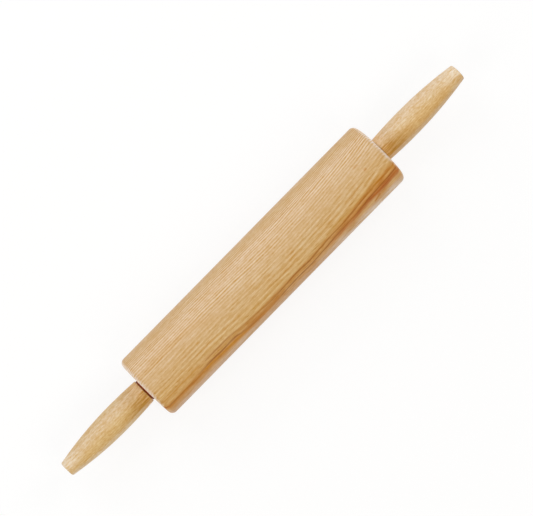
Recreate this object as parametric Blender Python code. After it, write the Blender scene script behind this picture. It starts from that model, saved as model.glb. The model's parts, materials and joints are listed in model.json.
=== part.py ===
"""A beech rolling pin whose barrel turns on a steel rod between two fixed handles.

The pin lies along X on the plane Z = 0, with its handle tips equally far from the
origin. Lengths are in metres.
"""

import math

import bmesh
import bpy

# Barrel, whose ends rise a little from their rounded edges to the bushes
BARREL_LENGTH = 0.2512
BARREL_DIAMETER = 0.0560
BARREL_EDGE_ROUND = 0.0043
BARREL_END_RISE = 0.0004

# Handles, measured from the base beside the barrel out to the tip. The right one was
# turned a little longer and thicker at its tip
HANDLE_LENGTH_LEFT = 0.0823
HANDLE_LENGTH_RIGHT = 0.083
HANDLE_TIP_DIAMETER_LEFT = 0.0128
HANDLE_TIP_DIAMETER_RIGHT = 0.0140
HANDLE_BASE_DIAMETER = 0.0203
HANDLE_CREST_DIAMETER = 0.0223
HANDLE_CREST_FROM_BASE = 0.0285
HANDLE_BASE_ROUND = 0.0005
HANDLE_TIP_ROUND = 0.0010

# Axle rod: plain between two shoulders, which space the handles, and threaded beyond
ROD_DIAMETER = 0.008
ROD_THREAD_DIAMETER = 0.006
ROD_THREAD_LENGTH = 0.030
ROD_CHAMFER = 0.0006

# Bearing bushes: a sleeve in the barrel, and a flange partly sunk in its end. The left
# one isn't pressed quite home
BUSH_WALL = 0.0027
BUSH_SLEEVE_LENGTH = 0.020
BUSH_FLANGE_WIDTH = 0.0025
BUSH_FLANGE_THICKNESS = 0.0012
BUSH_FLANGE_SUNK = 0.0007
BUSH_LEFT_STANDS_OUT = 0.0003
BUSH_FLANGE_CHAMFER = 0.0002
BUSH_LEAD_CHAMFER = 0.0008

# Inserts pressed into the handles, with ring-shaped barbs outside a tapped bore
INSERT_WALL = 0.0027
INSERT_LENGTH = 0.018
INSERT_COLLAR_LENGTH = 0.0015
INSERT_BARB_DEPTH = 0.0005
INSERT_BARB_PITCH = 0.0024

# Clearances
SEAT_GAP = 0.0003
RUNNING_GAP = 0.0003
FLOAT_GAP = 0.0003
ROD_GAP_IN_BARREL = 0.0010
BORE_BEYOND_ROD = 0.003
WELD_DISTANCE = 0.000001

# Angles
DRILL_POINT_ANGLE = math.radians(118)
SHARP_EDGE_ANGLE = math.radians(35)

# Sides and steps of the round shapes
BARREL_SIDES = 64
HANDLE_SIDES = 44
SMALL_SIDES = 28
EDGE_STEPS = 4
SWELL_STEPS = 8

# Radii
BARREL_RADIUS = BARREL_DIAMETER / 2
HANDLE_BASE_RADIUS = HANDLE_BASE_DIAMETER / 2
HANDLE_CREST_RADIUS = HANDLE_CREST_DIAMETER / 2
ROD_RADIUS = ROD_DIAMETER / 2
THREAD_RADIUS = ROD_THREAD_DIAMETER / 2
BUSH_BORE_RADIUS = ROD_RADIUS + RUNNING_GAP
BUSH_SLEEVE_RADIUS = BUSH_BORE_RADIUS + BUSH_WALL
BUSH_FLANGE_RADIUS = BUSH_SLEEVE_RADIUS + BUSH_FLANGE_WIDTH
INSERT_BORE_RADIUS = THREAD_RADIUS + SEAT_GAP
INSERT_RADIUS = INSERT_BORE_RADIUS + INSERT_WALL

# Places along the pin: the barrel lies a little nearer to the right handle
FLANGE_BACK = SEAT_GAP - BUSH_FLANGE_SUNK
FLANGE_FRONT = FLANGE_BACK + BUSH_FLANGE_THICKNESS
BASE_TO_BASE = BARREL_LENGTH + BUSH_LEFT_STANDS_OUT + 2 * (FLANGE_FRONT + FLOAT_GAP)
BASE_FROM_ROD_CENTRE = BASE_TO_BASE / 2
ROD_CENTRE_X = (HANDLE_LENGTH_LEFT - HANDLE_LENGTH_RIGHT) / 2
BARREL_CENTRE_X = ROD_CENTRE_X + BUSH_LEFT_STANDS_OUT / 2

# One flat side of the barrel lies on the ground, which sets the axis this high
AXIS_HEIGHT = BARREL_RADIUS * math.cos(math.pi / BARREL_SIDES)

# Linear colours
BARREL_BEECH = (0.64, 0.42, 0.21)
HANDLE_BEECH = (0.66, 0.45, 0.23)
BROWN_NYLON = (0.12, 0.035, 0.012)
BRIGHT_STEEL = (0.60, 0.60, 0.59)
YELLOW_BRASS = (0.75, 0.55, 0.24)


def clear_scene():
    for thing in list(bpy.data.objects):
        bpy.data.objects.remove(thing, do_unlink=True)


def new_material(name, colour, roughness, metallic=0):
    material = bpy.data.materials.new(name)
    material.use_nodes = True
    shader = material.node_tree.nodes["Principled BSDF"]
    shader.inputs["Base Color"].default_value = (*colour, 1)
    shader.inputs["Roughness"].default_value = roughness
    shader.inputs["Metallic"].default_value = metallic
    material.diffuse_color = (*colour, 1)
    return material


def new_axis(name, x):
    """An empty on the pin's axis, which the pieces that turn together are parented to."""
    axis = bpy.data.objects.new(name, None)
    axis.location = (x, 0, AXIS_HEIGHT)
    bpy.context.scene.collection.objects.link(axis)
    return axis


def place(name, mesh, axis, x=0, facing=1):
    """Puts a mesh on the axis at x. Facing -1 turns it end for end."""
    piece = bpy.data.objects.new(name, mesh)
    piece.parent = axis
    piece.location = (x, 0, 0)
    piece.rotation_euler = (0, 0, 0 if facing > 0 else math.pi)
    bpy.context.scene.collection.objects.link(piece)
    return piece


def corner(centre_x, centre_radius, round_radius, first_angle, last_angle):
    """A rounded corner of an outline, as points of (place along the axis, radius)."""
    points = []
    for step in range(EDGE_STEPS + 1):
        angle = first_angle + (last_angle - first_angle) * step / EDGE_STEPS
        along = centre_x + round_radius * math.cos(angle)
        points.append((along, centre_radius + round_radius * math.sin(angle)))
    return points


def swell(end_x, end_radius, crest_x, crest_radius):
    """An arc from its end up to, but without, the crest, where it is level."""
    run = end_x - crest_x
    rise = crest_radius - end_radius
    arc_radius = (run**2 + rise**2) / (2 * rise)
    end_angle = math.asin(run / arc_radius)
    points = []
    for step in range(SWELL_STEPS):
        angle = end_angle * (1 - step / SWELL_STEPS)
        drop = arc_radius * (1 - math.cos(angle))
        points.append((crest_x + arc_radius * math.sin(angle), crest_radius - drop))
    return points


def turned(name, outline, sides, material, hollow=False):
    """A mesh turned about X from its outline, with a flat side facing straight down.

    A hollow piece's outline is a closed loop clear of the axis. Any other outline starts
    and ends on the axis.
    """
    shape = bmesh.new()
    half_side_angle = math.pi / sides
    profile = []
    for along, radius in outline:
        across = radius * math.sin(half_side_angle)
        down = radius * math.cos(half_side_angle)
        profile.append(shape.verts.new((along, across, -down)))
    edges = [shape.edges.new(ends) for ends in zip(profile, profile[1:])]
    if hollow:
        edges.append(shape.edges.new((profile[-1], profile[0])))
    bmesh.ops.spin(
        shape,
        geom=profile + edges,
        cent=(0, 0, 0),
        axis=(1, 0, 0),
        angle=2 * math.pi,
        steps=sides,
        use_merge=True,
    )
    bmesh.ops.remove_doubles(shape, verts=shape.verts, dist=WELD_DISTANCE)
    bmesh.ops.recalc_face_normals(shape, faces=shape.faces)
    mesh = bpy.data.meshes.new(name)
    shape.to_mesh(mesh)
    shape.free()
    mesh.shade_smooth()
    mesh.set_sharp_from_angle(angle=SHARP_EDGE_ANGLE)
    mesh.materials.append(material)
    return mesh


def barrel_mesh(material):
    """The roller, bored for the rod and counterbored at both ends for the bushes."""
    end = BARREL_LENGTH / 2
    seat_radius = BUSH_SLEEVE_RADIUS + SEAT_GAP
    seat_end = end - BUSH_SLEEVE_LENGTH - SEAT_GAP
    flange_seat_radius = BUSH_FLANGE_RADIUS + SEAT_GAP
    flange_seat_end = end - BUSH_FLANGE_SUNK
    right_half = [
        (seat_end, ROD_RADIUS + ROD_GAP_IN_BARREL),
        (seat_end, seat_radius),
        (flange_seat_end, seat_radius),
        (flange_seat_end, flange_seat_radius),
        (end, flange_seat_radius),
    ]
    edge_x = end - BARREL_END_RISE - BARREL_EDGE_ROUND
    edge_radius = BARREL_RADIUS - BARREL_EDGE_ROUND
    right_half += corner(edge_x, edge_radius, BARREL_EDGE_ROUND, 0, math.pi / 2)
    left_half = [(-along, radius) for along, radius in reversed(right_half)]
    return turned("barrel", right_half + left_half, BARREL_SIDES, material, hollow=True)


def bush_mesh(material):
    """A flanged sleeve. The barrel's end is at X = 0, and the flange stands out of it."""
    lead_radius = BUSH_SLEEVE_RADIUS - BUSH_LEAD_CHAMFER
    chamfer_radius = BUSH_FLANGE_RADIUS - BUSH_FLANGE_CHAMFER
    outline = [
        (-BUSH_SLEEVE_LENGTH, BUSH_BORE_RADIUS),
        (-BUSH_SLEEVE_LENGTH, lead_radius),
        (BUSH_LEAD_CHAMFER - BUSH_SLEEVE_LENGTH, BUSH_SLEEVE_RADIUS),
        (FLANGE_BACK, BUSH_SLEEVE_RADIUS),
        (FLANGE_BACK, BUSH_FLANGE_RADIUS),
        (FLANGE_FRONT - BUSH_FLANGE_CHAMFER, BUSH_FLANGE_RADIUS),
        (FLANGE_FRONT, chamfer_radius),
        (FLANGE_FRONT, BUSH_BORE_RADIUS),
    ]
    return turned("bush", outline, SMALL_SIDES, material, hollow=True)


def rod_mesh(material):
    """The axle rod, whose shoulders stop against the inserts in the handles."""
    shoulder = BASE_FROM_ROD_CENTRE - SEAT_GAP
    thread_end = shoulder + ROD_THREAD_LENGTH
    right_half = [
        (shoulder, ROD_RADIUS),
        (shoulder, THREAD_RADIUS),
        (thread_end - ROD_CHAMFER, THREAD_RADIUS),
        (thread_end, THREAD_RADIUS - ROD_CHAMFER),
        (thread_end, 0),
    ]
    left_half = [(-along, radius) for along, radius in reversed(right_half)]
    return turned("axle_rod", left_half + right_half, SMALL_SIDES, material)


def insert_mesh(material):
    """A tapped sleeve, from its plain collar at X = 0 inwards along its barbs."""
    root_radius = INSERT_RADIUS - INSERT_BARB_DEPTH
    barbed_length = INSERT_LENGTH - INSERT_COLLAR_LENGTH
    barbs = max(1, round(barbed_length / INSERT_BARB_PITCH))
    outline = [
        (0, INSERT_BORE_RADIUS),
        (0, INSERT_RADIUS),
        (INSERT_COLLAR_LENGTH, INSERT_RADIUS),
    ]
    for barb in range(barbs):
        foot = INSERT_COLLAR_LENGTH + barbed_length * barb / barbs
        tip = INSERT_COLLAR_LENGTH + barbed_length * (barb + 1) / barbs
        outline += [(foot, root_radius), (tip, INSERT_RADIUS)]
    outline.append((INSERT_LENGTH, INSERT_BORE_RADIUS))
    return turned("insert", outline, SMALL_SIDES, material, hollow=True)


def handle_mesh(length, tip_radius, material):
    """A handle from its base at X = 0 to its tip, with a blind stepped bore."""
    tip_x = length - HANDLE_TIP_ROUND
    tip_centre = tip_radius - HANDLE_TIP_ROUND
    base_centre = HANDLE_BASE_RADIUS - HANDLE_BASE_ROUND
    crest = (HANDLE_CREST_FROM_BASE, HANDLE_CREST_RADIUS)
    outer = swell(tip_x, tip_radius, *crest)
    inner = swell(HANDLE_BASE_ROUND, HANDLE_BASE_RADIUS, *crest)
    seat_radius = INSERT_RADIUS + SEAT_GAP
    seat_depth = INSERT_LENGTH + SEAT_GAP
    bore_radius = THREAD_RADIUS + SEAT_GAP
    bore_depth = max(ROD_THREAD_LENGTH, seat_depth) + BORE_BEYOND_ROD
    drill_point = bore_radius / math.tan(DRILL_POINT_ANGLE / 2)
    outline = [(length, 0)]
    outline += corner(tip_x, tip_centre, HANDLE_TIP_ROUND, 0, math.pi / 2)
    outline += outer[1:] + [crest] + inner[:0:-1]
    outline += corner(HANDLE_BASE_ROUND, base_centre, HANDLE_BASE_ROUND, math.pi / 2, math.pi)
    outline += [
        (0, seat_radius),
        (seat_depth, seat_radius),
        (seat_depth, bore_radius),
        (bore_depth, bore_radius),
        (bore_depth + drill_point, 0),
    ]
    return turned("handle", outline, HANDLE_SIDES, material)


def build_grips():
    """The two handles, the inserts in them and the rod that joins them."""
    axis = new_axis("grip_axis", ROD_CENTRE_X)
    beech = new_material("turned_beech_handle", HANDLE_BEECH, roughness=0.5)
    brass = new_material("brass", YELLOW_BRASS, roughness=0.35, metallic=1)
    steel = new_material("drawn_steel", BRIGHT_STEEL, roughness=0.3, metallic=1)
    left_handle = handle_mesh(HANDLE_LENGTH_LEFT, HANDLE_TIP_DIAMETER_LEFT / 2, beech)
    right_handle = handle_mesh(HANDLE_LENGTH_RIGHT, HANDLE_TIP_DIAMETER_RIGHT / 2, beech)
    insert = insert_mesh(brass)
    for side, facing, handle in (("left", -1, left_handle), ("right", 1, right_handle)):
        base = facing * BASE_FROM_ROD_CENTRE
        place(f"handle_{side}", handle, axis, base, facing)
        place(f"insert_{side}", insert, axis, base, facing)
    place("axle_rod", rod_mesh(steel), axis)


def build_roller():
    """The barrel and the bushes in its ends, which turn together on the rod."""
    axis = new_axis("barrel_axis", BARREL_CENTRE_X)
    beech = new_material("turned_beech_barrel", BARREL_BEECH, roughness=0.5)
    nylon = new_material("brown_nylon", BROWN_NYLON, roughness=0.45)
    place("barrel", barrel_mesh(beech), axis)
    bush = bush_mesh(nylon)
    barrel_end = BARREL_LENGTH / 2
    place("bush_left", bush, axis, -barrel_end - BUSH_LEFT_STANDS_OUT, facing=-1)
    place("bush_right", bush, axis, barrel_end)


clear_scene()
build_grips()
build_roller()
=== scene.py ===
import json
import math

import bmesh
import bpy
from mathutils import Matrix, Vector


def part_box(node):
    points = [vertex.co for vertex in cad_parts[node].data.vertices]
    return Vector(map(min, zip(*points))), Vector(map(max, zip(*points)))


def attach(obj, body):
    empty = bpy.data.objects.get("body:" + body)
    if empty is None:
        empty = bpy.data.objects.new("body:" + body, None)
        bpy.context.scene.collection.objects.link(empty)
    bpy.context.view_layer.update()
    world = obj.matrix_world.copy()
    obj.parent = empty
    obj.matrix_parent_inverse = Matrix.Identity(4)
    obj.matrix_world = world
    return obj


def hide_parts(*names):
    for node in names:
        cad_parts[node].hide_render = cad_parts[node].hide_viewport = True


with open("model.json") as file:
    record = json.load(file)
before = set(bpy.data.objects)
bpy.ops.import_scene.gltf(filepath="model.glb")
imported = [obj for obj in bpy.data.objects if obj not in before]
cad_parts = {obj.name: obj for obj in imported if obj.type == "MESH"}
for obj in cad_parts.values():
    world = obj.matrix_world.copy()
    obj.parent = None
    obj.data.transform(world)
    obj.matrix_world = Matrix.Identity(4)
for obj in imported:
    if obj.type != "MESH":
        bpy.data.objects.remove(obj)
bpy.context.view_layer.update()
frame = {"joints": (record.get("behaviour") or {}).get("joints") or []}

AXIS_HEIGHT = frame["joints"][0]["pos_m"][2]


# Axle rod
# A length of 8 mm bright drawn steel bar, turned down to a shoulder at each end and
# threaded there. It screws into both handles, and the barrel turns on it.

ROD_SIDES = 64
ROD_SHOULDER_FROM_INSERT = 0.0003
ROD_THREAD_RADIUS = 0.003
ROD_THREAD_PITCH = 0.001
ROD_THREAD_DEPTH = 0.00061
ROD_THREAD_STEPS_PER_TURN = 6
ROD_CHAMFER = 0.0006
SAME_PLACE = 1e-7
SHARP_EDGE = math.radians(30)
MM_PER_METRE = 1000

STEEL = "#C9C8C4"
STEEL_IN_LINES = "#B4B3AE"
STEEL_ROUGHNESS = (0.36, 0.2)
# The length and the spacing of the drawing lines. Real ones lie a few hundredths of a
# millimetre apart, and these are coarser, so that they show.
DRAW_LINE_MM = (30, 0.25)
DRAW_LINE_DEPTH = 0.00001
RELIEF_STRENGTH = 0.3
# Nearly all of a noise's values lie between these two.
NOISE_SPREAD = (0.3, 0.7)


def linear(code):
    """An sRGB hex colour as a linear colour with an alpha of one."""
    shares = [int(code[start:start + 2], 16) / 255 for start in (1, 3, 5)]
    return (*[s / 12.92 if s <= 0.04045 else ((s + 0.055) / 1.055) ** 2.4 for s in shares], 1)


def add(tree, kind, *feeds, stops=(), points=(), **settings):
    """Adds a shader node and links or sets its inputs.

    Feeds fill the inputs in order. A setting with a capital letter is an input's name, with
    _ for a space, and any other is a property of the node. Stops are a colour ramp's and
    points a curve's.
    """
    made = tree.nodes.new("ShaderNode" + kind)
    named = {}
    for name, value in settings.items():
        if name[0].isupper():
            named[name.replace("_", " ")] = value
        else:
            setattr(made, name, value)
    open_inputs = [socket for socket in made.inputs if socket.enabled]
    pairs = list(zip(open_inputs, feeds))
    pairs += [(made.inputs[name], value) for name, value in named.items()]
    for socket, value in pairs:
        if isinstance(value, bpy.types.Node):
            value = next(output for output in value.outputs if output.enabled)
        if isinstance(value, bpy.types.NodeSocket):
            tree.links.new(value, socket)
        else:
            socket.default_value = value
    if stops:
        ramp = made.color_ramp.elements
        while len(ramp) < len(stops):
            ramp.new(1)
        for element, (position, colour) in zip(ramp, stops):
            element.position = position
            element.color = colour
    if points:
        curve = made.mapping.curves[0].points
        while len(curve) < len(points):
            curve.new(1, 1)
        for point, position in zip(curve, points):
            point.location = position
        made.mapping.update()
    return made


def new_material(name):
    """An empty material and its node tree."""
    material = bpy.data.materials.new(name)
    material.use_nodes = True
    material.node_tree.nodes.clear()
    return material, material.node_tree


def place_in_mm(tree, facing=1):
    """The place on a piece in millimetres along the pin's axes, from the piece's own origin."""
    here = add(tree, "TexCoord").outputs["Object"]
    scale = (MM_PER_METRE * facing, MM_PER_METRE * facing, MM_PER_METRE)
    return add(tree, "VectorMath", here, scale, operation="MULTIPLY")


def in_cells(tree, here, size_mm):
    """The place counted in cells of a pattern that is so long and so wide in millimetres."""
    length, width = size_mm
    scale = (1 / length, 1 / width, 1 / width)
    return add(tree, "VectorMath", here, scale, operation="MULTIPLY")


def turned(name, outline, sides, hollow=False):
    """A mesh turned about X from an outline of (place along the axis, radius)."""
    shape = bmesh.new()
    profile = [shape.verts.new((along, 0, -radius)) for along, radius in outline]
    edges = [shape.edges.new(ends) for ends in zip(profile, profile[1:])]
    if hollow:
        edges.append(shape.edges.new((profile[-1], profile[0])))
    bmesh.ops.spin(
        shape,
        geom=profile + edges,
        cent=(0, 0, 0),
        axis=(1, 0, 0),
        angle=2 * math.pi,
        steps=sides,
        use_merge=True,
    )
    bmesh.ops.remove_doubles(shape, verts=shape.verts, dist=SAME_PLACE)
    bmesh.ops.recalc_face_normals(shape, faces=shape.faces)
    mesh = bpy.data.meshes.new(name)
    shape.to_mesh(mesh)
    shape.free()
    mesh.shade_smooth()
    mesh.set_sharp_from_angle(angle=SHARP_EDGE)
    return mesh


def place(name, mesh, material, body, replaced, x, facing=1):
    """Puts a piece on the axis at x, in the place of a CAD node. Facing -1 turns it round."""
    piece = bpy.data.objects.new(name, mesh)
    piece.location = (x, 0, AXIS_HEIGHT)
    piece.rotation_euler = (0, 0, 0 if facing > 0 else math.pi)
    bpy.context.scene.collection.objects.link(piece)
    mesh.materials.append(material)
    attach(piece, body)
    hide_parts(replaced)


def drawn_steel():
    """Bright drawn bar: a grey mirror broken by fine lines that the die leaves along it."""
    material, tree = new_material("bright drawn steel")
    here = place_in_mm(tree)
    lines = add(tree, "TexNoise", in_cells(tree, here, DRAW_LINE_MM), Scale=1, Detail=3)
    colours = (linear(STEEL_IN_LINES), linear(STEEL))
    colour = add(tree, "ValToRGB", lines, stops=list(zip(NOISE_SPREAD, colours)))
    roughness = add(tree, "MapRange", lines, *NOISE_SPREAD, *STEEL_ROUGHNESS)
    relief = add(tree, "Bump", Strength=RELIEF_STRENGTH, Distance=DRAW_LINE_DEPTH, Height=lines)
    shader = add(
        tree, "BsdfPrincipled", Base_Color=colour, Metallic=1, Roughness=roughness, Normal=relief
    )
    add(tree, "OutputMaterial", shader)
    return material


def rod_mesh(half_length, shoulder, radius):
    """The rod, with a real helical thread at both ends."""
    stretch = half_length - shoulder
    count = round(stretch / ROD_THREAD_PITCH * ROD_THREAD_STEPS_PER_TURN)
    right = [(shoulder, radius)]
    right += [(shoulder + stretch * i / count, ROD_THREAD_RADIUS) for i in range(count + 1)]
    left = [(-along, r) for along, r in reversed(right)]
    mesh = turned("axle_rod", [(-half_length, 0)] + left + right + [(half_length, 0)], ROD_SIDES)
    halfway = (radius + ROD_THREAD_RADIUS) / 2
    for vertex in mesh.vertices:
        along, across, up = vertex.co
        around = math.hypot(across, up)
        if abs(along) <= shoulder or not 0 < around < halfway:
            continue
        turn = math.atan2(across, up) / (2 * math.pi)
        groove = abs((along / ROD_THREAD_PITCH - turn) % 1 * 2 - 1)
        lead_in = max(0, abs(along) - half_length + ROD_CHAMFER)
        shrunk = 1 - (ROD_THREAD_DEPTH * groove + lead_in) / ROD_THREAD_RADIUS
        vertex.co = (along, across * shrunk, up * shrunk)
    return mesh


rod_low, rod_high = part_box("axle_rod")
insert_low, insert_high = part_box("insert_right")
rod_centre = (rod_low.x + rod_high.x) / 2
rod_radius = (rod_high.z - rod_low.z) / 2
place(
    "rod",
    rod_mesh(
        rod_high.x - rod_centre,
        insert_low.x - ROD_SHOULDER_FROM_INSERT - rod_centre,
        rod_radius,
    ),
    drawn_steel(),
    "grips",
    "axle_rod",
    rod_centre,
)


# Bearing bushes
# Two flanged nylon sleeves pressed into the barrel's ends. Their dark red-brown is painted
# shade, for the shaded gap beside the left handle where a flange shows. The rod runs in
# them, and their flanges, half sunk, keep the barrel off the handles.

BUSH_SIDES = 96
BUSH_BORE_GAP = 0.0003
BUSH_SLEEVE_WALL = 0.0027
BUSH_SEAT_GAP = 0.0003
BUSH_FLANGE_THICKNESS = 0.0012
BUSH_FLANGE_ROUND = 0.0002
BUSH_FLANGE_STEPS = 4
BUSH_LEAD_CHAMFER = 0.0008
BUSH_FLANGE_SUNK = 0.0007

# Both browns are painted shade: they darken the flange that shows in the shaded gap between the
# barrel and the left handle.
NYLON_SHADE_BROWN = "#8C380C"
NYLON_WORN_SHADE_BROWN = "#A24E18"
NYLON_WORN_SPREAD = (0.35, 0.75)
NYLON_ROUGHNESS = (0.62, 0.75)
NYLON_IOR = 1.53
NYLON_SHEEN = 0.2
# A spark-eroded mould leaves a grain of about a tenth of this, and it is drawn coarser, so
# that it shows.
MOULD_TEXTURE_MM = 0.6
MOULD_TEXTURE_DEPTH = 0.00003


def corner(centre_x, centre_radius, round_radius, first_angle, last_angle, steps):
    """A rounded corner of an outline, with its angles in degrees."""
    points = []
    for step in range(steps + 1):
        angle = math.radians(first_angle + (last_angle - first_angle) * step / steps)
        along = centre_x + round_radius * math.cos(angle)
        points.append((along, centre_radius + round_radius * math.sin(angle)))
    return points


def shade_brown_nylon():
    """Moulded nylon, dull all over from the mould's texture, dark red-brown as painted shade."""
    material, tree = new_material("moulded brown nylon")
    here = place_in_mm(tree)
    texture = add(tree, "TexNoise", here, Scale=1 / MOULD_TEXTURE_MM, Detail=3)
    colours = (linear(NYLON_SHADE_BROWN), linear(NYLON_WORN_SHADE_BROWN))
    colour = add(tree, "ValToRGB", texture, stops=list(zip(NYLON_WORN_SPREAD, colours)))
    relief = add(
        tree, "Bump", Strength=RELIEF_STRENGTH, Distance=MOULD_TEXTURE_DEPTH, Height=texture
    )
    shader = add(
        tree,
        "BsdfPrincipled",
        Base_Color=colour,
        Roughness=add(tree, "MapRange", texture, *NOISE_SPREAD, *NYLON_ROUGHNESS),
        Normal=relief,
        IOR=NYLON_IOR,
        Specular_IOR_Level=NYLON_SHEEN,
    )
    add(tree, "OutputMaterial", shader)
    return material


def bush_mesh(flange_front, sleeve_length, flange_radius, bore_radius):
    """A flanged sleeve. The barrel's end is at X = 0, and the flange stands out of it."""
    sleeve_radius = bore_radius + BUSH_SLEEVE_WALL
    front = flange_front - BUSH_FLANGE_ROUND
    back = flange_front - BUSH_FLANGE_THICKNESS
    rim = flange_radius - BUSH_FLANGE_ROUND
    outline = [
        (-sleeve_length, bore_radius),
        (-sleeve_length, sleeve_radius - BUSH_LEAD_CHAMFER),
        (BUSH_LEAD_CHAMFER - sleeve_length, sleeve_radius),
        (back, sleeve_radius),
        (back, flange_radius),
    ]
    outline += corner(front, rim, BUSH_FLANGE_ROUND, 90, 0, BUSH_FLANGE_STEPS)
    outline.append((flange_front, bore_radius))
    return turned("bush", outline, BUSH_SIDES, hollow=True)


barrel_low, barrel_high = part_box("barrel")
nylon = shade_brown_nylon()
for side, facing in (("left", -1), ("right", 1)):
    low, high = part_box(f"bush_{side}")
    barrel_end = barrel_low.x if side == "left" else barrel_high.x
    outer, inner = (low.x, high.x) if side == "left" else (high.x, low.x)
    bush = bush_mesh(
        abs(outer - barrel_end),
        abs(inner - barrel_end),
        (high.z - low.z) / 2,
        rod_radius + BUSH_BORE_GAP,
    )
    place(
        f"nylon_bush_{side}",
        bush,
        nylon,
        "roller",
        f"bush_{side}",
        barrel_end,
        facing,
    )


# Barrel
# One billet of steamed beech, turned between centres, bored through for the rod, and
# sanded smooth. It is left bare, so its surface has only the soft sheen of sanded wood.

BARREL_SIDES = 256
BARREL_EDGE_ROUND = 0.0043
BARREL_EDGE_STEPS = 14
BARREL_END_RISE = 0.0004
BARREL_BORE_RADIUS = 0.005

# The growth layers are flat and stand at this angle from level. They are 1.9 mm thick at
# the pin's axis, and get thicker towards the front.
BARREL_GRAIN_ANGLE = math.radians(65)
LAYER_TURNS_PER_MM = 0.524
LAYER_TURNS_PER_SQUARE_MM = -0.0026
# How far the layers lie off flat along the barrel, as (mm from its middle, mm off). Their
# curve can go off by the reach, either way.
LAYER_LEAN = [(-126, 0), (-63, 0), (0, -1.28), (37.8, -1.28), (75.6, 0.96), (126, 7.68)]
LAYER_LEAN_REACH = 8

# The length and the width of each pattern's blotches in millimetres. Beech's real fibres,
# pores and rays are finer, and these are drawn coarser, so that they show.
DRIFT_MM = (90, 14)
RIPPLE_MM = (24, 4)
PATCH_MM = (45, 5)
FIBRE_MM = (16, 0.5)
STREAK_MM = (40, 0.9)
SPECKLE_MM = (2.4, 0.9)
MOTTLE_MM = (6, 2.4)
DASH_MM = (9, 1.1)
FLECK_MM = (3.4, 1.5)
WOBBLE_MM = (12, 4)
RIDGE_MM = (9, 0.45)
PORE_MM = (4, 0.45)
NOISE_MIDDLE = 0.5

# How far the drift and the ripple bend the layers, in millimetres, and how far the wobble
# bends the drawn lines, in degrees.
DRIFT_BEND = 3.2
RIPPLE_BEND = 1.3
WOBBLE_BEND = 3

# How much paler or darker each pattern makes the wood. One step of tone changes red, green
# and blue by these gains, and no gain falls below the least one.
LAYER_TONE = 0.28
FIBRE_TONE = 0.6
BARREL_SPECKLE_TONE = 0.36
MOTTLE_TONE = 0.4
STREAK_TONE = 0.32
DASH_TONE = -0.1
TONE_GAIN = (0.45, 1.0, 2.1)
LEAST_GAIN = (0.05, 0.05, 0.05)

# A fade goes smoothly from one value to another: (from, to, value before, value after).
# These five are over a pattern's own values. The layers show in the patches, and the drawn
# lines are thin at the breaks.
GENTLY = {"interpolation_type": "SMOOTHSTEP"}
PATCHES = (0.32, 0.62, 0.45, 1)
FLECKS = (0.1, 0.34, -0.09, 0)
DASHES = (0.54, 0.7, 0, 1)
BREAKS = (0.3, 0.6, 0.6, 1.1)
PORES = (0.5, 0.68, 0, -0.22)

# These five are over the angle round the barrel, in degrees from its top towards the front.
# The layers show less on top, a little more in front, and less again behind. The dashes are
# in front, and what only the front and the top have is gone underneath.
LAYERS_LESS_ON_TOP = (-22, -4, 0, 0.6)
LAYERS_MORE_IN_FRONT = (8, 20, 0, 0.2)
LAYERS_LESS_BEHIND = (75, 125, 1, 0.5)
DASHES_IN_FRONT = (2, 14, 0, 1)
FRONT_AND_TOP = (100, 170, 1, 0)

# The pale end grain on the end faces, and a painted highlight on the rounded rims, in
# millimetres from the barrel's middle. The painted highlight starts farther out towards the
# front, over the angle round the barrel, so it is broader on top and behind, where the light
# falls. The heart's brown shows half through it at the rim, over the millimetres from the axis.
END_GRAIN_AND_RIM_HIGHLIGHT = "#F8E4D2"
RIM_HIGHLIGHT_FROM_MM = 121.8
RIM_HIGHLIGHT_FULL_MM = 125.6
END_FACE_MM = (125.0, 125.2)
RIM_HIGHLIGHT_LATER = (14, 34, 0, 1.4)
RIM_HIGHLIGHT_LATER_STILL = (40, 55, 0, 1.6)
HEART_ON_END = (16, 27, 0, 0.5)

# The colour round the barrel, as (degrees from its top towards the front, colour). It is
# paler behind and at the front rim, and more golden in front.
BARREL_ZONES = [
    (-180, "#D8AF7C"),
    (-80, "#D3AE80"),
    (-60, "#D7B07C"),
    (-38, "#DDBA90"),
    (-12, "#D9B689"),
    (14, "#DBB681"),
    (30, "#E2BC82"),
    (44, "#E3BB7A"),
    (58, "#DBAB6A"),
    (67, "#DBB288"),
    (79, "#DAB592"),
    (180, "#D8AF7C"),
]
HEART_BROWN = "#A65A06"
HEART_AMBER = "#C87F0A"
HEART_RED = "#B86004"
GOLDEN_BROWN = "#CA8A00"
PALE_EDGE = "#EBD3B8"
GOLDEN_SHARE = 0.6
DASH_GOLDEN_SHARE = 0.5

# The drawn figure: each line's half width in degrees, and its course along the barrel as
# (mm from the middle, degrees round, share). A course that starts to the right of the open
# end begins sharply, and the others run off the barrel's left end.
CURVE_REACH_MM = 126
CURVE_REACH_DEGREES = 90
OPEN_END_MM = -100
HEART_LINES = [
    (2.6, [(-126, 51.5, 0.75), (-112, 51.7, 0.6), (-97, 51.2, 0.5), (-84, 52.6, 0)]),
    (3.4, [
        (-90, 48.9, 0.2), (-76, 47.2, 0.7), (-64, 48.2, 0.9), (-51, 48.2, 0.9),
        (-44, 52, 0.6), (-34, 57, 0.5), (-22, 61.2, 0),
    ]),
    (2.3, [
        (-79, 38.2, 0.45), (-56, 38.4, 0.6), (-43, 42.1, 0.3), (-28, 45, 0.35),
        (-12, 48.2, 0.4), (2, 47.2, 0.7), (13, 45.2, 0.75), (27, 46.2, 0.9),
        (49, 43.3, 0.8), (66, 42, 0.6), (82, 38.8, 0.7), (98, 34.8, 0.55),
        (112, 33, 0.35), (124, 32, 0.35),
    ]),
    (2.3, [
        (-22, 61, 0), (-6, 58.2, 0.5), (8, 55.2, 0.9), (30, 55.4, 0.95),
        (40, 54, 0.9), (53, 51, 0.75), (69, 49.4, 0.6), (84, 46.4, 0.8),
        (99, 43, 1), (112, 41.6, 0.9), (124, 39.6, 0.85),
    ]),
]
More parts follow.
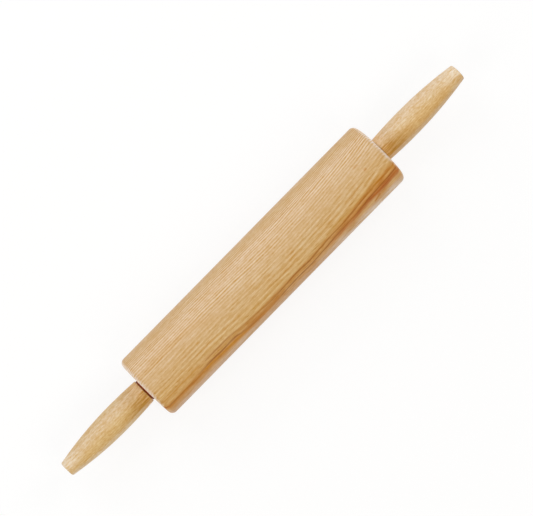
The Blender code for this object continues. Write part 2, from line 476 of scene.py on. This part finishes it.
HEART_WASHES = [
    (10, [
        (-126, 52, 0.95), (-95, 51.8, 0.9), (-73, 52.3, 1), (-53, 55, 1),
        (-34, 56, 0.95), (-15, 57, 0.9), (0, 54, 0.3), (8, 53, 0),
        (36, 52, 0.1), (52, 48, 0.45), (69, 48, 0.7), (84, 45, 0.8),
        (99, 42, 0.8), (124, 40, 0.9),
    ]),
    (6, [
        (-126, 38, 0.4), (-73, 38, 0.5), (-53, 40.5, 0.5), (-34, 45, 0.7),
        (8, 45.5, 0.7), (30, 45, 0.75), (53, 42.1, 0.75), (69, 41.5, 0.85),
        (84, 38, 0.85), (99, 35, 1), (124, 32.5, 1),
    ]),
    (12, [(98, 37, 0), (110, 37, 0.45), (124, 37, 0.85)]),
]
HEART_RED_WASHES = [
    (9, [
        (45, 55, 0), (58, 52.5, 0.5), (69, 51.5, 0.7), (84, 49, 0.65),
        (99, 48, 1), (124, 46.5, 0.9),
    ]),
]
PALE_EDGE_WASHES = [(15, [(48, 74, 0), (70, 74, 0.5), (124, 74, 0.85)])]
GOLDEN_LINES = [
    (2.1, [
        (-125, 20.4, 0.6), (-97, 20.6, 0.5), (-71, 22, 0.35), (-45, 25, 0.7),
        (-24, 28.4, 0.7), (-1, 29, 0.8), (25, 28.2, 0.9), (44, 26.7, 0.8),
        (73, 23, 0),
    ]),
    (2.5, [(-125, 28, 0.4), (-119, 28, 0.9), (-101, 27.5, 0.6), (-75, 28.5, 0.8), (-55, 29, 0)]),
    (5.5, [
        (50, 36, 0.2), (69, 35.5, 0.9), (84, 33, 1), (99, 29.5, 1),
        (113, 27, 0.9), (124, 26, 0.8),
    ]),
    (2.4, [(-125, 37.2, 0.4), (-118, 37.2, 0.9), (-101, 37, 0.9), (-82, 36.3, 0)]),
    (1.8, [(-124, 8.4, 0.5), (-112, 7.5, 0.5), (-93, 8.4, 0.6), (-75, 9.6, 0)]),
    (1.8, [(-124, 15, 0.4), (-105, 12.7, 0.4), (-82, 15.1, 0.5), (-60, 15.9, 0)]),
    (1.6, [(-16, 15.3, 0), (-13, 15.3, 0.8), (-1, 15, 0.8), (2, 15, 0)]),
    (2, [(75, 20.8, 0), (81, 20.1, 0.6), (103, 15.6, 0.5), (122, 11.8, 0.6)]),
    (2, [(92, 10.9, 0), (99, 10.3, 0.6), (118, 6.8, 0.6)]),
    (10, [(-126, -17, 0.3), (-80, -17, 0.35), (-50, -17, 0)]),
]
KNOTS = [
    (3.6, [(103.4, 5, 0), (105.4, 5, 0.5), (107.4, 5, 0)]),
    (2.2, [(98.5, -9, 0), (100.5, -9, 0.35), (103, -9, 0.35), (105, -9, 0)]),
    (3.6, [(94.5, 60, 0), (96.5, 59, 0.9), (100.5, 55.5, 0.9), (102.5, 54, 0)]),
]

BEECH_ROUGHNESS = (0.58, 0.48)
BEECH_IOR = 1.5
BEECH_SHEEN = 0.35
RIDGE_STRENGTH = 0.25
RIDGE_DEPTH = 0.00004


def barrel_mesh(half_length, radius, seat_radius, seat_depth, flange_seat_radius):
    """The roller, bored for the rod and counterbored at both ends for the bushes."""
    seat_end = half_length - seat_depth
    flange_seat_end = half_length - BUSH_FLANGE_SUNK
    right = [
        (seat_end, BARREL_BORE_RADIUS),
        (seat_end, seat_radius),
        (flange_seat_end, seat_radius),
        (flange_seat_end, flange_seat_radius),
        (half_length, flange_seat_radius),
    ]
    right += corner(
        half_length - BARREL_END_RISE - BARREL_EDGE_ROUND,
        radius - BARREL_EDGE_ROUND,
        BARREL_EDGE_ROUND,
        0,
        90,
        BARREL_EDGE_STEPS,
    )
    left = [(-along, r) for along, r in reversed(right)]
    return turned("barrel", right + left, BARREL_SIDES, hollow=True)


def ramp_round(tree, angle, zones):
    """The colour at an angle round the piece, from stops of (degrees, colour)."""
    stops = [(degrees / 360 + 0.5, linear(colour)) for degrees, colour in zones]
    return add(tree, "ValToRGB", add(tree, "MapRange", angle, -180, 180), stops=stops)


def angle_round(tree, across, up):
    """Degrees round the piece: zero on top, and growing towards the front."""
    forward = add(tree, "Math", across, -1, operation="MULTIPLY")
    turn = add(tree, "Math", forward, up, operation="ARCTAN2")
    return add(tree, "Math", turn, operation="DEGREES")


def grain_tone(tree, here, depth, strength, fibre_size, speckle_tone):
    """How much paler or darker than its zone the wood is at a place, around zero.

    The depth is the distance in millimetres through the growth layers, and the strength is
    how much they show. The flecks are the spindles of the rays. Fibres of the given size, a
    speckle of the given tone and a soft mottle come on top.
    """
    drift = add(tree, "TexNoise", in_cells(tree, here, DRIFT_MM), Scale=1, Detail=1)
    ripple = add(tree, "TexNoise", in_cells(tree, here, RIPPLE_MM), Scale=1, Detail=2)
    bent = add(tree, "Math", drift, DRIFT_BEND, depth, operation="MULTIPLY_ADD")
    bent = add(tree, "Math", ripple, RIPPLE_BEND, bent, operation="MULTIPLY_ADD")
    turns_per_mm = add(
        tree,
        "Math",
        bent,
        LAYER_TURNS_PER_SQUARE_MM,
        LAYER_TURNS_PER_MM,
        operation="MULTIPLY_ADD",
    )
    turns = add(tree, "Math", turns_per_mm, bent, operation="MULTIPLY")
    wave = add(tree, "Math", turns, 2 * math.pi, operation="MULTIPLY")
    wave = add(tree, "Math", wave, operation="SINE")
    patches = add(tree, "TexNoise", in_cells(tree, here, PATCH_MM), Scale=1, Detail=2)
    patches = add(tree, "MapRange", patches, *PATCHES, **GENTLY)
    layers = add(tree, "Math", wave, patches, operation="MULTIPLY")
    layers = add(tree, "Math", layers, strength, operation="MULTIPLY")
    spindles = add(tree, "TexVoronoi", in_cells(tree, here, FLECK_MM), Scale=1)
    flecks = add(tree, "MapRange", spindles.outputs["Distance"], *FLECKS, **GENTLY)
    tone = add(tree, "Math", layers, LAYER_TONE, flecks, operation="MULTIPLY_ADD")
    for size, detail, pattern_tone in (
        (fibre_size, 3, FIBRE_TONE),
        (SPECKLE_MM, 1, speckle_tone),
        (MOTTLE_MM, 2, MOTTLE_TONE),
    ):
        pattern = add(tree, "TexNoise", in_cells(tree, here, size), Scale=1, Detail=detail)
        pattern = add(tree, "Math", pattern, NOISE_MIDDLE, operation="SUBTRACT")
        tone = add(tree, "Math", pattern, pattern_tone, tone, operation="MULTIPLY_ADD")
    return tone


def toned(tree, colour, tone):
    """A wood colour made paler or darker. Its yellow deepens as it darkens."""
    gain = add(tree, "VectorMath", TONE_GAIN, operation="SCALE", Scale=tone)
    gain = add(tree, "VectorMath", gain, (1, 1, 1), operation="ADD")
    gain = add(tree, "VectorMath", gain, LEAST_GAIN, operation="MAXIMUM")
    return add(tree, "VectorMath", colour, gain, operation="MULTIPLY")


def drawn(tree, along, angle, lines):
    """The share of a figure's lines at a place. Where lines cross, the stronger one counts."""
    place_along = add(tree, "MapRange", along, -CURVE_REACH_MM, CURVE_REACH_MM)
    total = None
    for width, course in lines:
        stations = [(mm / CURVE_REACH_MM + 1) / 2 for mm, *_ in course]
        angles = [degrees / CURVE_REACH_DEGREES for _, degrees, _ in course]
        shares = [share for *_, share in course]
        centre = add(tree, "FloatCurve", 1, place_along, points=list(zip(stations, angles)))
        centre = add(tree, "Math", centre, CURVE_REACH_DEGREES, operation="MULTIPLY")
        off = add(tree, "Math", angle, centre, operation="SUBTRACT")
        off = add(tree, "Math", off, operation="ABSOLUTE")
        line = add(tree, "MapRange", off, 0, width, 1, 0, **GENTLY)
        start = course[0][0]
        if start > OPEN_END_MM:
            started = add(tree, "Math", along, start, operation="GREATER_THAN")
            line = add(tree, "Math", line, started, operation="MULTIPLY")
        share = add(tree, "FloatCurve", 1, place_along, points=list(zip(stations, shares)))
        line = add(tree, "Math", line, share, operation="MULTIPLY")
        total = line if total is None else add(tree, "Math", total, line, operation="MAXIMUM")
    return total


def finished_beech(tree, here, colour):
    """Bare sanded beech: a soft satin, with faint ridges along its fibres."""
    ridges = add(tree, "TexNoise", in_cells(tree, here, RIDGE_MM), Scale=1, Detail=2)
    relief = add(tree, "Bump", Strength=RIDGE_STRENGTH, Distance=RIDGE_DEPTH, Height=ridges)
    shader = add(
        tree,
        "BsdfPrincipled",
        Base_Color=colour,
        Roughness=add(tree, "MapRange", ridges, *NOISE_SPREAD, *BEECH_ROUGHNESS, **GENTLY),
        Normal=relief,
        IOR=BEECH_IOR,
        Specular_IOR_Level=BEECH_SHEEN,
    )
    add(tree, "OutputMaterial", shader)


def layer_depth(tree, here, along):
    """Millimetres through the barrel's growth layers, which lean over at its right end."""
    through = (0, -math.sin(BARREL_GRAIN_ANGLE), math.cos(BARREL_GRAIN_ANGLE))
    depth = add(tree, "VectorMath", here, through, operation="DOT_PRODUCT").outputs["Value"]
    points = [
        ((mm / CURVE_REACH_MM + 1) / 2, (1 - lean_mm / LAYER_LEAN_REACH) / 2)
        for mm, lean_mm in LAYER_LEAN
    ]
    place_along = add(tree, "MapRange", along, -CURVE_REACH_MM, CURVE_REACH_MM)
    lean = add(tree, "FloatCurve", 1, place_along, points=points)
    lean = add(tree, "MapRange", lean, 0, 1, LAYER_LEAN_REACH, -LAYER_LEAN_REACH)
    return add(tree, "Math", depth, lean, operation="ADD")


def layer_strength(tree, angle, seen_side):
    """How much the barrel's growth layers show at an angle round it."""
    more = add(tree, "MapRange", angle, *LAYERS_MORE_IN_FRONT, **GENTLY)
    less = add(tree, "MapRange", angle, *LAYERS_LESS_ON_TOP, **GENTLY)
    change = add(tree, "Math", more, less, operation="SUBTRACT")
    strength = add(tree, "Math", change, seen_side, 1, operation="MULTIPLY_ADD")
    off_top = add(tree, "Math", angle, operation="ABSOLUTE")
    behind = add(tree, "MapRange", off_top, *LAYERS_LESS_BEHIND, **GENTLY)
    return add(tree, "Math", strength, behind, operation="MULTIPLY")


def end_grain_and_rim_highlight_share(tree, from_middle, radius, angle, seen_side, on_end, heart):
    """How much pale end grain and painted rim highlight shows at a place on the barrel."""
    later = add(
        tree,
        "Math",
        add(tree, "MapRange", angle, *RIM_HIGHLIGHT_LATER, **GENTLY),
        add(tree, "MapRange", angle, *RIM_HIGHLIGHT_LATER_STILL, **GENTLY),
        operation="ADD",
    )
    start = add(tree, "Math", later, seen_side, RIM_HIGHLIGHT_FROM_MM, operation="MULTIPLY_ADD")
    share = add(tree, "MapRange", from_middle, start, RIM_HIGHLIGHT_FULL_MM, **GENTLY)
    share = add(tree, "Math", share, on_end, operation="MAXIMUM")
    at_rim = add(tree, "MapRange", radius, *HEART_ON_END, **GENTLY)
    brown = add(tree, "Math", heart, at_rim, operation="MULTIPLY")
    plain = add(tree, "Math", 1, brown, operation="SUBTRACT")
    return add(tree, "Math", share, plain, operation="MULTIPLY")


def barrel_beech():
    """Pale beech in growth layers, with golden lines and the brown heart along the front."""
    material, tree = new_material("turned beech")
    here = place_in_mm(tree)
    parts = add(tree, "SeparateXYZ", here)
    along, across, up = (parts.outputs[axis] for axis in "XYZ")
    angle = angle_round(tree, across, up)
    seen_side = add(tree, "MapRange", angle, *FRONT_AND_TOP, **GENTLY)
    wobble = add(tree, "TexNoise", in_cells(tree, here, WOBBLE_MM), Scale=1, Detail=2)
    wobble = add(tree, "Math", wobble, NOISE_MIDDLE, operation="SUBTRACT")
    wavy_angle = add(tree, "Math", wobble, WOBBLE_BEND, angle, operation="MULTIPLY_ADD")
    breaks = add(tree, "TexNoise", in_cells(tree, here, FIBRE_MM), Scale=1, Detail=3)
    breaks = add(tree, "MapRange", breaks, *BREAKS, **GENTLY)

    depth = layer_depth(tree, here, along)
    strength = layer_strength(tree, angle, seen_side)
    tone = grain_tone(tree, here, depth, strength, FIBRE_MM, BARREL_SPECKLE_TONE)
    streaks = add(tree, "TexNoise", in_cells(tree, here, STREAK_MM), Scale=1, Detail=1)
    streaks = add(tree, "Math", streaks, NOISE_MIDDLE, operation="SUBTRACT")
    tone = add(tree, "Math", streaks, STREAK_TONE, tone, operation="MULTIPLY_ADD")
    dashes = add(tree, "TexNoise", in_cells(tree, here, DASH_MM), Scale=1, Detail=1)
    dashes = add(tree, "MapRange", dashes, *DASHES, **GENTLY)
    in_front = add(tree, "MapRange", angle, *DASHES_IN_FRONT, **GENTLY)
    dashes = add(tree, "Math", dashes, in_front, operation="MULTIPLY")
    dashes = add(tree, "Math", dashes, seen_side, operation="MULTIPLY")
    tone = add(tree, "Math", dashes, DASH_TONE, tone, operation="MULTIPLY_ADD")

    golden = drawn(tree, along, wavy_angle, GOLDEN_LINES)
    golden = add(tree, "Math", golden, breaks, operation="MULTIPLY")
    golden_dashes = add(tree, "Math", dashes, DASH_GOLDEN_SHARE, operation="MULTIPLY")
    golden = add(tree, "Math", golden, golden_dashes, operation="MAXIMUM")
    golden = add(tree, "Math", golden, GOLDEN_SHARE, operation="MULTIPLY")
    pale = ramp_round(tree, angle, BARREL_ZONES)
    colour = add(
        tree, "Mix", data_type="RGBA", Factor=golden, A=pale, B=linear(GOLDEN_BROWN)
    )
    heart = 0
    for hex_code, lines, is_heart in (
        (PALE_EDGE, PALE_EDGE_WASHES, False),
        (HEART_AMBER, KNOTS, False),
        (HEART_AMBER, HEART_WASHES, True),
        (HEART_RED, HEART_RED_WASHES, True),
        (HEART_BROWN, HEART_LINES, True),
    ):
        share = drawn(tree, along, wavy_angle, lines)
        share = add(tree, "Math", share, breaks, operation="MULTIPLY")
        colour = add(tree, "Mix", data_type="RGBA", Factor=share, A=colour, B=linear(hex_code))
        if is_heart:
            heart = add(tree, "Math", heart, share, operation="MAXIMUM")

    from_middle = add(tree, "Math", along, operation="ABSOLUTE")
    off_axis = add(tree, "CombineXYZ", 0, across, up)
    radius = add(tree, "VectorMath", off_axis, operation="LENGTH").outputs["Value"]
    on_end = add(tree, "MapRange", from_middle, *END_FACE_MM, **GENTLY)
    end_grain_and_highlight_share = end_grain_and_rim_highlight_share(tree, from_middle, radius, angle, seen_side, on_end, heart)
    # Pale end grain on the end faces, and a painted highlight on the rounded rims.
    colour = add(
        tree, "Mix", data_type="RGBA", Factor=end_grain_and_highlight_share, A=colour, B=linear(END_GRAIN_AND_RIM_HIGHLIGHT)
    )
    pores = add(tree, "TexNoise", in_cells(tree, here, PORE_MM), Scale=1, Detail=2)
    pores = add(tree, "MapRange", pores, *PORES, **GENTLY)
    tone = add(tree, "Math", pores, on_end, tone, operation="MULTIPLY_ADD")
    finished_beech(tree, here, toned(tree, colour, tone))
    return material


barrel_centre = (barrel_low.x + barrel_high.x) / 2
bush_low, bush_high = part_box("bush_right")
place(
    "beech_barrel",
    barrel_mesh(
        (barrel_high.x - barrel_low.x) / 2,
        (barrel_high.z - barrel_low.z) / 2,
        rod_radius + BUSH_BORE_GAP + BUSH_SLEEVE_WALL + BUSH_SEAT_GAP,
        barrel_high.x - bush_low.x + BUSH_SEAT_GAP,
        (bush_high.z - bush_low.z) / 2 + BUSH_SEAT_GAP,
    ),
    barrel_beech(),
    "roller",
    "barrel",
    barrel_centre,
)


# Threaded inserts
# Two turned brass sleeves, tapped for the rod and ringed with barbs, which are pressed
# into the handles' bores and hold there by their barbs.

INSERT_SIDES = 96
INSERT_COLLAR_LENGTH = 0.0015
INSERT_BARBS = 7
INSERT_BARB_DEPTH = 0.0005
INSERT_BORE_RADIUS = 0.0033

BRASS = "#D2A85A"
BRASS_IN_RINGS = "#B98F48"
BRASS_ROUGHNESS = (0.4, 0.25)
# The lathe tool's feed for each turn, which spaces its rings.
TOOL_MARK_MM = 0.12
TOOL_MARK_DEPTH = 0.00001


def turned_brass():
    """Turned brass: a yellow metal with the fine rings that the lathe tool leaves round it."""
    material, tree = new_material("turned brass")
    here = place_in_mm(tree)
    along = add(tree, "SeparateXYZ", here).outputs["X"]
    rings = add(tree, "TexNoise", noise_dimensions="1D", W=along, Scale=1 / TOOL_MARK_MM)
    colours = (linear(BRASS_IN_RINGS), linear(BRASS))
    colour = add(tree, "ValToRGB", rings, stops=list(zip(NOISE_SPREAD, colours)))
    roughness = add(tree, "MapRange", rings, *NOISE_SPREAD, *BRASS_ROUGHNESS)
    relief = add(tree, "Bump", Strength=RELIEF_STRENGTH, Distance=TOOL_MARK_DEPTH, Height=rings)
    shader = add(
        tree, "BsdfPrincipled", Base_Color=colour, Metallic=1, Roughness=roughness, Normal=relief
    )
    add(tree, "OutputMaterial", shader)
    return material


def insert_mesh(length, radius):
    """A tapped sleeve, from its plain collar at X = 0 inwards along its barbs."""
    barbed_length = length - INSERT_COLLAR_LENGTH
    outline = [(0, INSERT_BORE_RADIUS), (0, radius), (INSERT_COLLAR_LENGTH, radius)]
    for barb in range(INSERT_BARBS):
        foot = INSERT_COLLAR_LENGTH + barbed_length * barb / INSERT_BARBS
        tip = INSERT_COLLAR_LENGTH + barbed_length * (barb + 1) / INSERT_BARBS
        outline += [(foot, radius - INSERT_BARB_DEPTH), (tip, radius)]
    outline.append((length, INSERT_BORE_RADIUS))
    return turned("insert", outline, INSERT_SIDES, hollow=True)


brass = turned_brass()
for side, facing in (("left", -1), ("right", 1)):
    low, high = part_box(f"insert_{side}")
    place(
        f"brass_insert_{side}",
        insert_mesh(high.x - low.x, (high.z - low.z) / 2),
        brass,
        "grips",
        f"insert_{side}",
        high.x if side == "left" else low.x,
        facing,
    )


# Handles
# Two grips turned from paler beech, thickest a third of the way out and slimmer at the
# tip. Each is bored from its base for its insert and the rod's end.

HANDLE_SIDES = 192
HANDLE_STEPS = 40
HANDLE_BASE_RADIUS = 0.01015
HANDLE_TIP_RADII = {"left": 0.0064, "right": 0.0070}
HANDLE_CREST_FROM_BASE = 0.0285
HANDLE_BASE_ROUND = 0.0005
HANDLE_BASE_STEPS = 6
HANDLE_TIP_ROUND = 0.0010
HANDLE_TIP_STEPS = 8
HANDLE_BORE_DEPTH = 0.033
HANDLE_SEAT_GAP = 0.0003

# In the depth through the layers, a millimetre up counts for this much of one across.
HANDLE_GRAIN_SLOPE = 0.5
HANDLE_LAYER_STRENGTH = 0.2
HANDLE_SPECKLE_TONE = 0.6
HANDLE_FIBRE_MM = (7, 0.8)
# The colour round each handle, as (degrees from its top towards the front, colour). It is
# paler behind, and its pale stop at 62 degrees, on the front rim, is painted light from below.
HANDLE_ZONES = {
    "left": [
        (-180, "#DDBA88"),
        (-60, "#DAB886"),
        (-33, "#DFC198"),
        (-12, "#DFC094"),
        (18, "#E0BB7E"),
        (44, "#E3BD7E"),
        (62, "#ECD0A6"),
        (180, "#DDBA88"),
    ],
    "right": [
        (-180, "#E0BE90"),
        (-60, "#E4C49A"),
        (-33, "#E6C8A1"),
        (-12, "#E3C497"),
        (18, "#E1B97C"),
        (44, "#DFB472"),
        (62, "#E0BE92"),
        (180, "#E0BE90"),
    ],
}

# The golden patch beside the barrel. Its edge starts at an angle round the base and moves
# round by its slope, in degrees for each millimetre outwards. A faint ring of the same gold
# goes all round the base, and ends so many millimetres out.
GOLD = "#C08828"
GOLD_EDGE = {"left": -12, "right": -8}
GOLD_SLOPE = {"left": 1.2, "right": 0.6}
GOLD_PAST_EDGE = (-12, 16, 0, 1)
GOLD_ROUND = (46, 60, 1, 0)
GOLD_OUTWARDS = (4, 34, 1, 0)
GOLD_RING_FROM_MM = 4
GOLD_RING_END_MM = {"left": 30, "right": 18}
GOLD_RING_SHARE = {"left": 0.45, "right": 0.3}
GOLD_STREAK_MM = (16, 1.2)
GOLD_STREAKS = (0.35, 0.62, 0.35, 1)

# The pale tip, over the angle round the handle and then over the millimetres from its base,
# and the end grain, which starts and is full so many millimetres before the tip's face.
PALE_TIP = "#F4E0C4"
PALE_ON_TOP = (0, 30, 1, 0.3)
PALE_BEHIND = (100, 170, 0, 1)
PALE_OUTWARDS = (60, 84, 0, 0.6)
HANDLE_END_GRAIN = "#DDBE92"
HANDLE_END_FROM_MM = 0.35
HANDLE_END_FULL_MM = 0.05


def swell(end_x, end_radius, crest_x, crest_radius):
    """An arc from its end up to, but without, the crest, where it is level."""
    run = end_x - crest_x
    rise = crest_radius - end_radius
    arc_radius = (run**2 + rise**2) / (2 * rise)
    end_angle = math.asin(run / arc_radius)
    points = []
    for step in range(HANDLE_STEPS):
        angle = end_angle * (1 - step / HANDLE_STEPS)
        drop = arc_radius * (1 - math.cos(angle))
        points.append((crest_x + arc_radius * math.sin(angle), crest_radius - drop))
    return points


def handle_mesh(length, crest_radius, tip_radius, insert_length, insert_radius):
    """A handle from its base at X = 0 to its tip, with a blind stepped bore."""
    tip_x = length - HANDLE_TIP_ROUND
    tip_centre = tip_radius - HANDLE_TIP_ROUND
    base_centre = HANDLE_BASE_RADIUS - HANDLE_BASE_ROUND
    crest = (HANDLE_CREST_FROM_BASE, crest_radius)
    outer = swell(tip_x, tip_radius, *crest)
    inner = swell(HANDLE_BASE_ROUND, HANDLE_BASE_RADIUS, *crest)
    seat_radius = insert_radius + HANDLE_SEAT_GAP
    seat_depth = insert_length + HANDLE_SEAT_GAP
    outline = [(length, 0)]
    outline += corner(tip_x, tip_centre, HANDLE_TIP_ROUND, 0, 90, HANDLE_TIP_STEPS)
    outline += outer[1:] + [crest] + inner[:0:-1]
    outline += corner(
        HANDLE_BASE_ROUND, base_centre, HANDLE_BASE_ROUND, 90, 180, HANDLE_BASE_STEPS
    )
    outline += [
        (0, seat_radius),
        (seat_depth, seat_radius),
        (seat_depth, INSERT_BORE_RADIUS),
        (HANDLE_BORE_DEPTH, INSERT_BORE_RADIUS),
        (HANDLE_BORE_DEPTH + INSERT_BORE_RADIUS, 0),
    ]
    return turned("handle", outline, HANDLE_SIDES)


def gold_share(tree, side, here, angle, from_base):
    """How much of the gold shows at a place on a handle."""
    edge = add(
        tree, "Math", from_base, GOLD_SLOPE[side], GOLD_EDGE[side], operation="MULTIPLY_ADD"
    )
    past_edge = add(tree, "Math", angle, edge, operation="SUBTRACT")
    patch = add(
        tree,
        "Math",
        add(tree, "MapRange", past_edge, *GOLD_PAST_EDGE, **GENTLY),
        add(tree, "MapRange", angle, *GOLD_ROUND, **GENTLY),
        operation="MULTIPLY",
    )
    outwards = add(tree, "MapRange", from_base, *GOLD_OUTWARDS, **GENTLY)
    patch = add(tree, "Math", patch, outwards, operation="MULTIPLY")
    ring_fade = (GOLD_RING_FROM_MM, GOLD_RING_END_MM[side], GOLD_RING_SHARE[side], 0)
    ring = add(tree, "MapRange", from_base, *ring_fade, **GENTLY)
    patch = add(tree, "Math", patch, ring, operation="MAXIMUM")
    streaks = add(tree, "TexNoise", in_cells(tree, here, GOLD_STREAK_MM), Scale=1, Detail=3)
    streaks = add(tree, "MapRange", streaks, *GOLD_STREAKS, **GENTLY)
    return add(tree, "Math", patch, streaks, operation="MULTIPLY")


def handle_beech(side, facing, length_mm):
    """Paler, finely flecked beech, with a golden patch of fanning lines beside the barrel."""
    material, tree = new_material(f"turned beech {side} grip")
    here = place_in_mm(tree, facing)
    parts = add(tree, "SeparateXYZ", here)
    along, across, up = (parts.outputs[axis] for axis in "XYZ")
    angle = angle_round(tree, across, up)
    from_base = add(tree, "Math", along, operation="ABSOLUTE")
    depth = add(tree, "Math", up, HANDLE_GRAIN_SLOPE, across, operation="MULTIPLY_ADD")
    tone = grain_tone(
        tree, here, depth, HANDLE_LAYER_STRENGTH, HANDLE_FIBRE_MM, HANDLE_SPECKLE_TONE
    )
    colour = ramp_round(tree, angle, HANDLE_ZONES[side])
    gold = gold_share(tree, side, here, angle, from_base)
    colour = add(tree, "Mix", data_type="RGBA", Factor=gold, A=colour, B=linear(GOLD))
    pale_side = add(
        tree,
        "Math",
        add(tree, "MapRange", angle, *PALE_ON_TOP, **GENTLY),
        add(tree, "MapRange", angle, *PALE_BEHIND, **GENTLY),
        operation="MAXIMUM",
    )
    outwards = add(tree, "MapRange", from_base, *PALE_OUTWARDS, **GENTLY)
    pale = add(tree, "Math", pale_side, outwards, operation="MULTIPLY")
    colour = add(tree, "Mix", data_type="RGBA", Factor=pale, A=colour, B=linear(PALE_TIP))
    end_fade = (length_mm - HANDLE_END_FROM_MM, length_mm - HANDLE_END_FULL_MM)
    on_end = add(tree, "MapRange", from_base, *end_fade, **GENTLY)
    colour = add(
        tree, "Mix", data_type="RGBA", Factor=on_end, A=colour, B=linear(HANDLE_END_GRAIN)
    )
    finished_beech(tree, here, toned(tree, colour, tone))
    return material


for side, facing in (("left", -1), ("right", 1)):
    low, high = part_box(f"handle_{side}")
    place(
        f"beech_handle_{side}",
        handle_mesh(
            high.x - low.x,
            (high.z - low.z) / 2,
            HANDLE_TIP_RADII[side],
            insert_high.x - insert_low.x,
            (insert_high.z - insert_low.z) / 2,
        ),
        handle_beech(side, facing, MM_PER_METRE * (high.x - low.x)),
        "grips",
        f"handle_{side}",
        high.x if side == "left" else low.x,
        facing,
    )


# Table and studio
# The pin lies on a plain white table with five soft boxes over it and white walls round
# it. The camera sees the table and walls as plain white, with the pin's shadow kept.

TABLE_SIZE = 3.2
TABLE_SQUARES = 8
TABLE_WHITE = "#F2F2F2"
TABLE_SHADOW_SHARE = 0.2
TABLE_GLOW = 1.05
STUDIO_LEVEL = 0.19
STUDIO_WARM_WHITE = "#FFF8EC"
SEEN_WHITE = "#FFFFFF"
LAMP_DISTANCE = 1.8
LAMP_SIZE = 1.0
# Each soft box's name, its degrees round from the pin's right end, its degrees above the
# table, its power in watts, and its colour.
LAMPS = [
    ("low_back_light", 90, 25, 8.2, "#F6FAFF"),
    ("back_light", 90, 50, 6.2, "#F6FAFF"),
    ("left_light", 180, 40, 9.2, "#FFFFFF"),
    ("right_light", 0, 40, 9.2, "#FFFFFF"),
    ("front_light", 270, 50, 7.3, "#FFF6E8"),
]


def seen_or_mirrored(tree):
    """One for what the camera sees, straight or in a shiny or clear surface, and zero else."""
    rays = add(tree, "LightPath").outputs
    mirrored = add(
        tree, "Math", rays["Is Glossy Ray"], rays["Is Transmission Ray"], operation="MAXIMUM"
    )
    return add(tree, "Math", rays["Is Camera Ray"], mirrored, operation="MAXIMUM")


def white_table():
    """Matt white laminate. It looks nearly white by itself, and so its shadow is faint."""
    material, tree = new_material("white table")
    matt = add(tree, "BsdfDiffuse", linear(TABLE_WHITE))
    glow = add(tree, "Emission", linear(SEEN_WHITE), TABLE_GLOW)
    whitened = add(tree, "MixShader", 1 - TABLE_SHADOW_SHARE, matt, glow)
    shader = add(tree, "MixShader", seen_or_mirrored(tree), matt, whitened)
    add(tree, "OutputMaterial", shader)
    return material


def white_studio():
    """White walls: plain white where they are seen, and else an even soft light on the pin."""
    world = bpy.data.worlds.new("white studio")
    world.use_nodes = True
    tree = world.node_tree
    tree.nodes.clear()
    walls = add(tree, "Background", linear(STUDIO_WARM_WHITE), STUDIO_LEVEL)
    white = add(tree, "Background", linear(SEEN_WHITE), 1)
    add(tree, "OutputWorld", add(tree, "MixShader", seen_or_mirrored(tree), walls, white))
    return world


def soft_light(name, direction, height, power, colour):
    """A square soft box that faces the pin."""
    lamp = bpy.data.lights.new(name, "AREA")
    lamp.shape = "SQUARE"
    lamp.size = LAMP_SIZE
    lamp.energy = power
    lamp.color = linear(colour)[:3]
    light = bpy.data.objects.new(name, lamp)
    turn, lift = math.radians(direction), math.radians(height)
    level = math.cos(lift)
    towards = Vector((level * math.cos(turn), level * math.sin(turn), math.sin(lift)))
    light.location = towards * LAMP_DISTANCE
    light.rotation_euler = towards.to_track_quat("Z", "Y").to_euler()
    bpy.context.scene.collection.objects.link(light)


shape = bmesh.new()
bmesh.ops.create_grid(
    shape, x_segments=TABLE_SQUARES, y_segments=TABLE_SQUARES, size=TABLE_SIZE / 2
)
table_top = bpy.data.meshes.new("table")
shape.to_mesh(table_top)
shape.free()
table_top.materials.append(white_table())
table = bpy.data.objects.new("table", table_top)
bpy.context.scene.collection.objects.link(table)
bpy.context.scene.world = white_studio()
for lamp in LAMPS:
    soft_light(*lamp)


# Camera
# It looks nearly straight down on the pin from a good way off, with the pin across the
# picture from corner to corner.

PICTURE_WIDTH = 533
PICTURE_HEIGHT = 516
SENSOR_WIDTH = 36
METRES_PER_PIXEL = 0.0007513
CAMERA_DISTANCE = 2.05
CAMERA_REACH = 100
CAMERA_LEAN_LEFT = math.radians(2.1)
CAMERA_LEAN_FRONT = math.radians(1.9)
PIN_SLOPE = math.radians(45.5)
PIN_CENTRE_PIXEL = (263.1, 269.9)

back = Vector((-math.tan(CAMERA_LEAN_LEFT), -math.tan(CAMERA_LEAN_FRONT), 1)).normalized()
pin_across_picture = (Vector((1, 0, 0)) - back * back.x).normalized()
off_pin = back.cross(pin_across_picture)
right = math.cos(PIN_SLOPE) * pin_across_picture - math.sin(PIN_SLOPE) * off_pin
up = back.cross(right)
pin_centre = Vector((0, 0, AXIS_HEIGHT))
aim_right = (PICTURE_WIDTH / 2 - PIN_CENTRE_PIXEL[0]) * METRES_PER_PIXEL
aim_up = (PIN_CENTRE_PIXEL[1] - PICTURE_HEIGHT / 2) * METRES_PER_PIXEL
aim = pin_centre + right * aim_right + up * aim_up

lens = bpy.data.cameras.new("camera")
lens.sensor_width = SENSOR_WIDTH
lens.lens = SENSOR_WIDTH * CAMERA_DISTANCE / METRES_PER_PIXEL / PICTURE_WIDTH
lens.clip_end = CAMERA_REACH
camera = bpy.data.objects.new("camera", lens)
bpy.context.scene.collection.objects.link(camera)
camera.matrix_world = (
    Matrix.Translation(aim + back * CAMERA_DISTANCE)
    @ Matrix((right, up, back)).transposed().to_4x4()
)
bpy.context.scene.camera = camera
bpy.context.scene.view_settings.view_transform = "Standard"
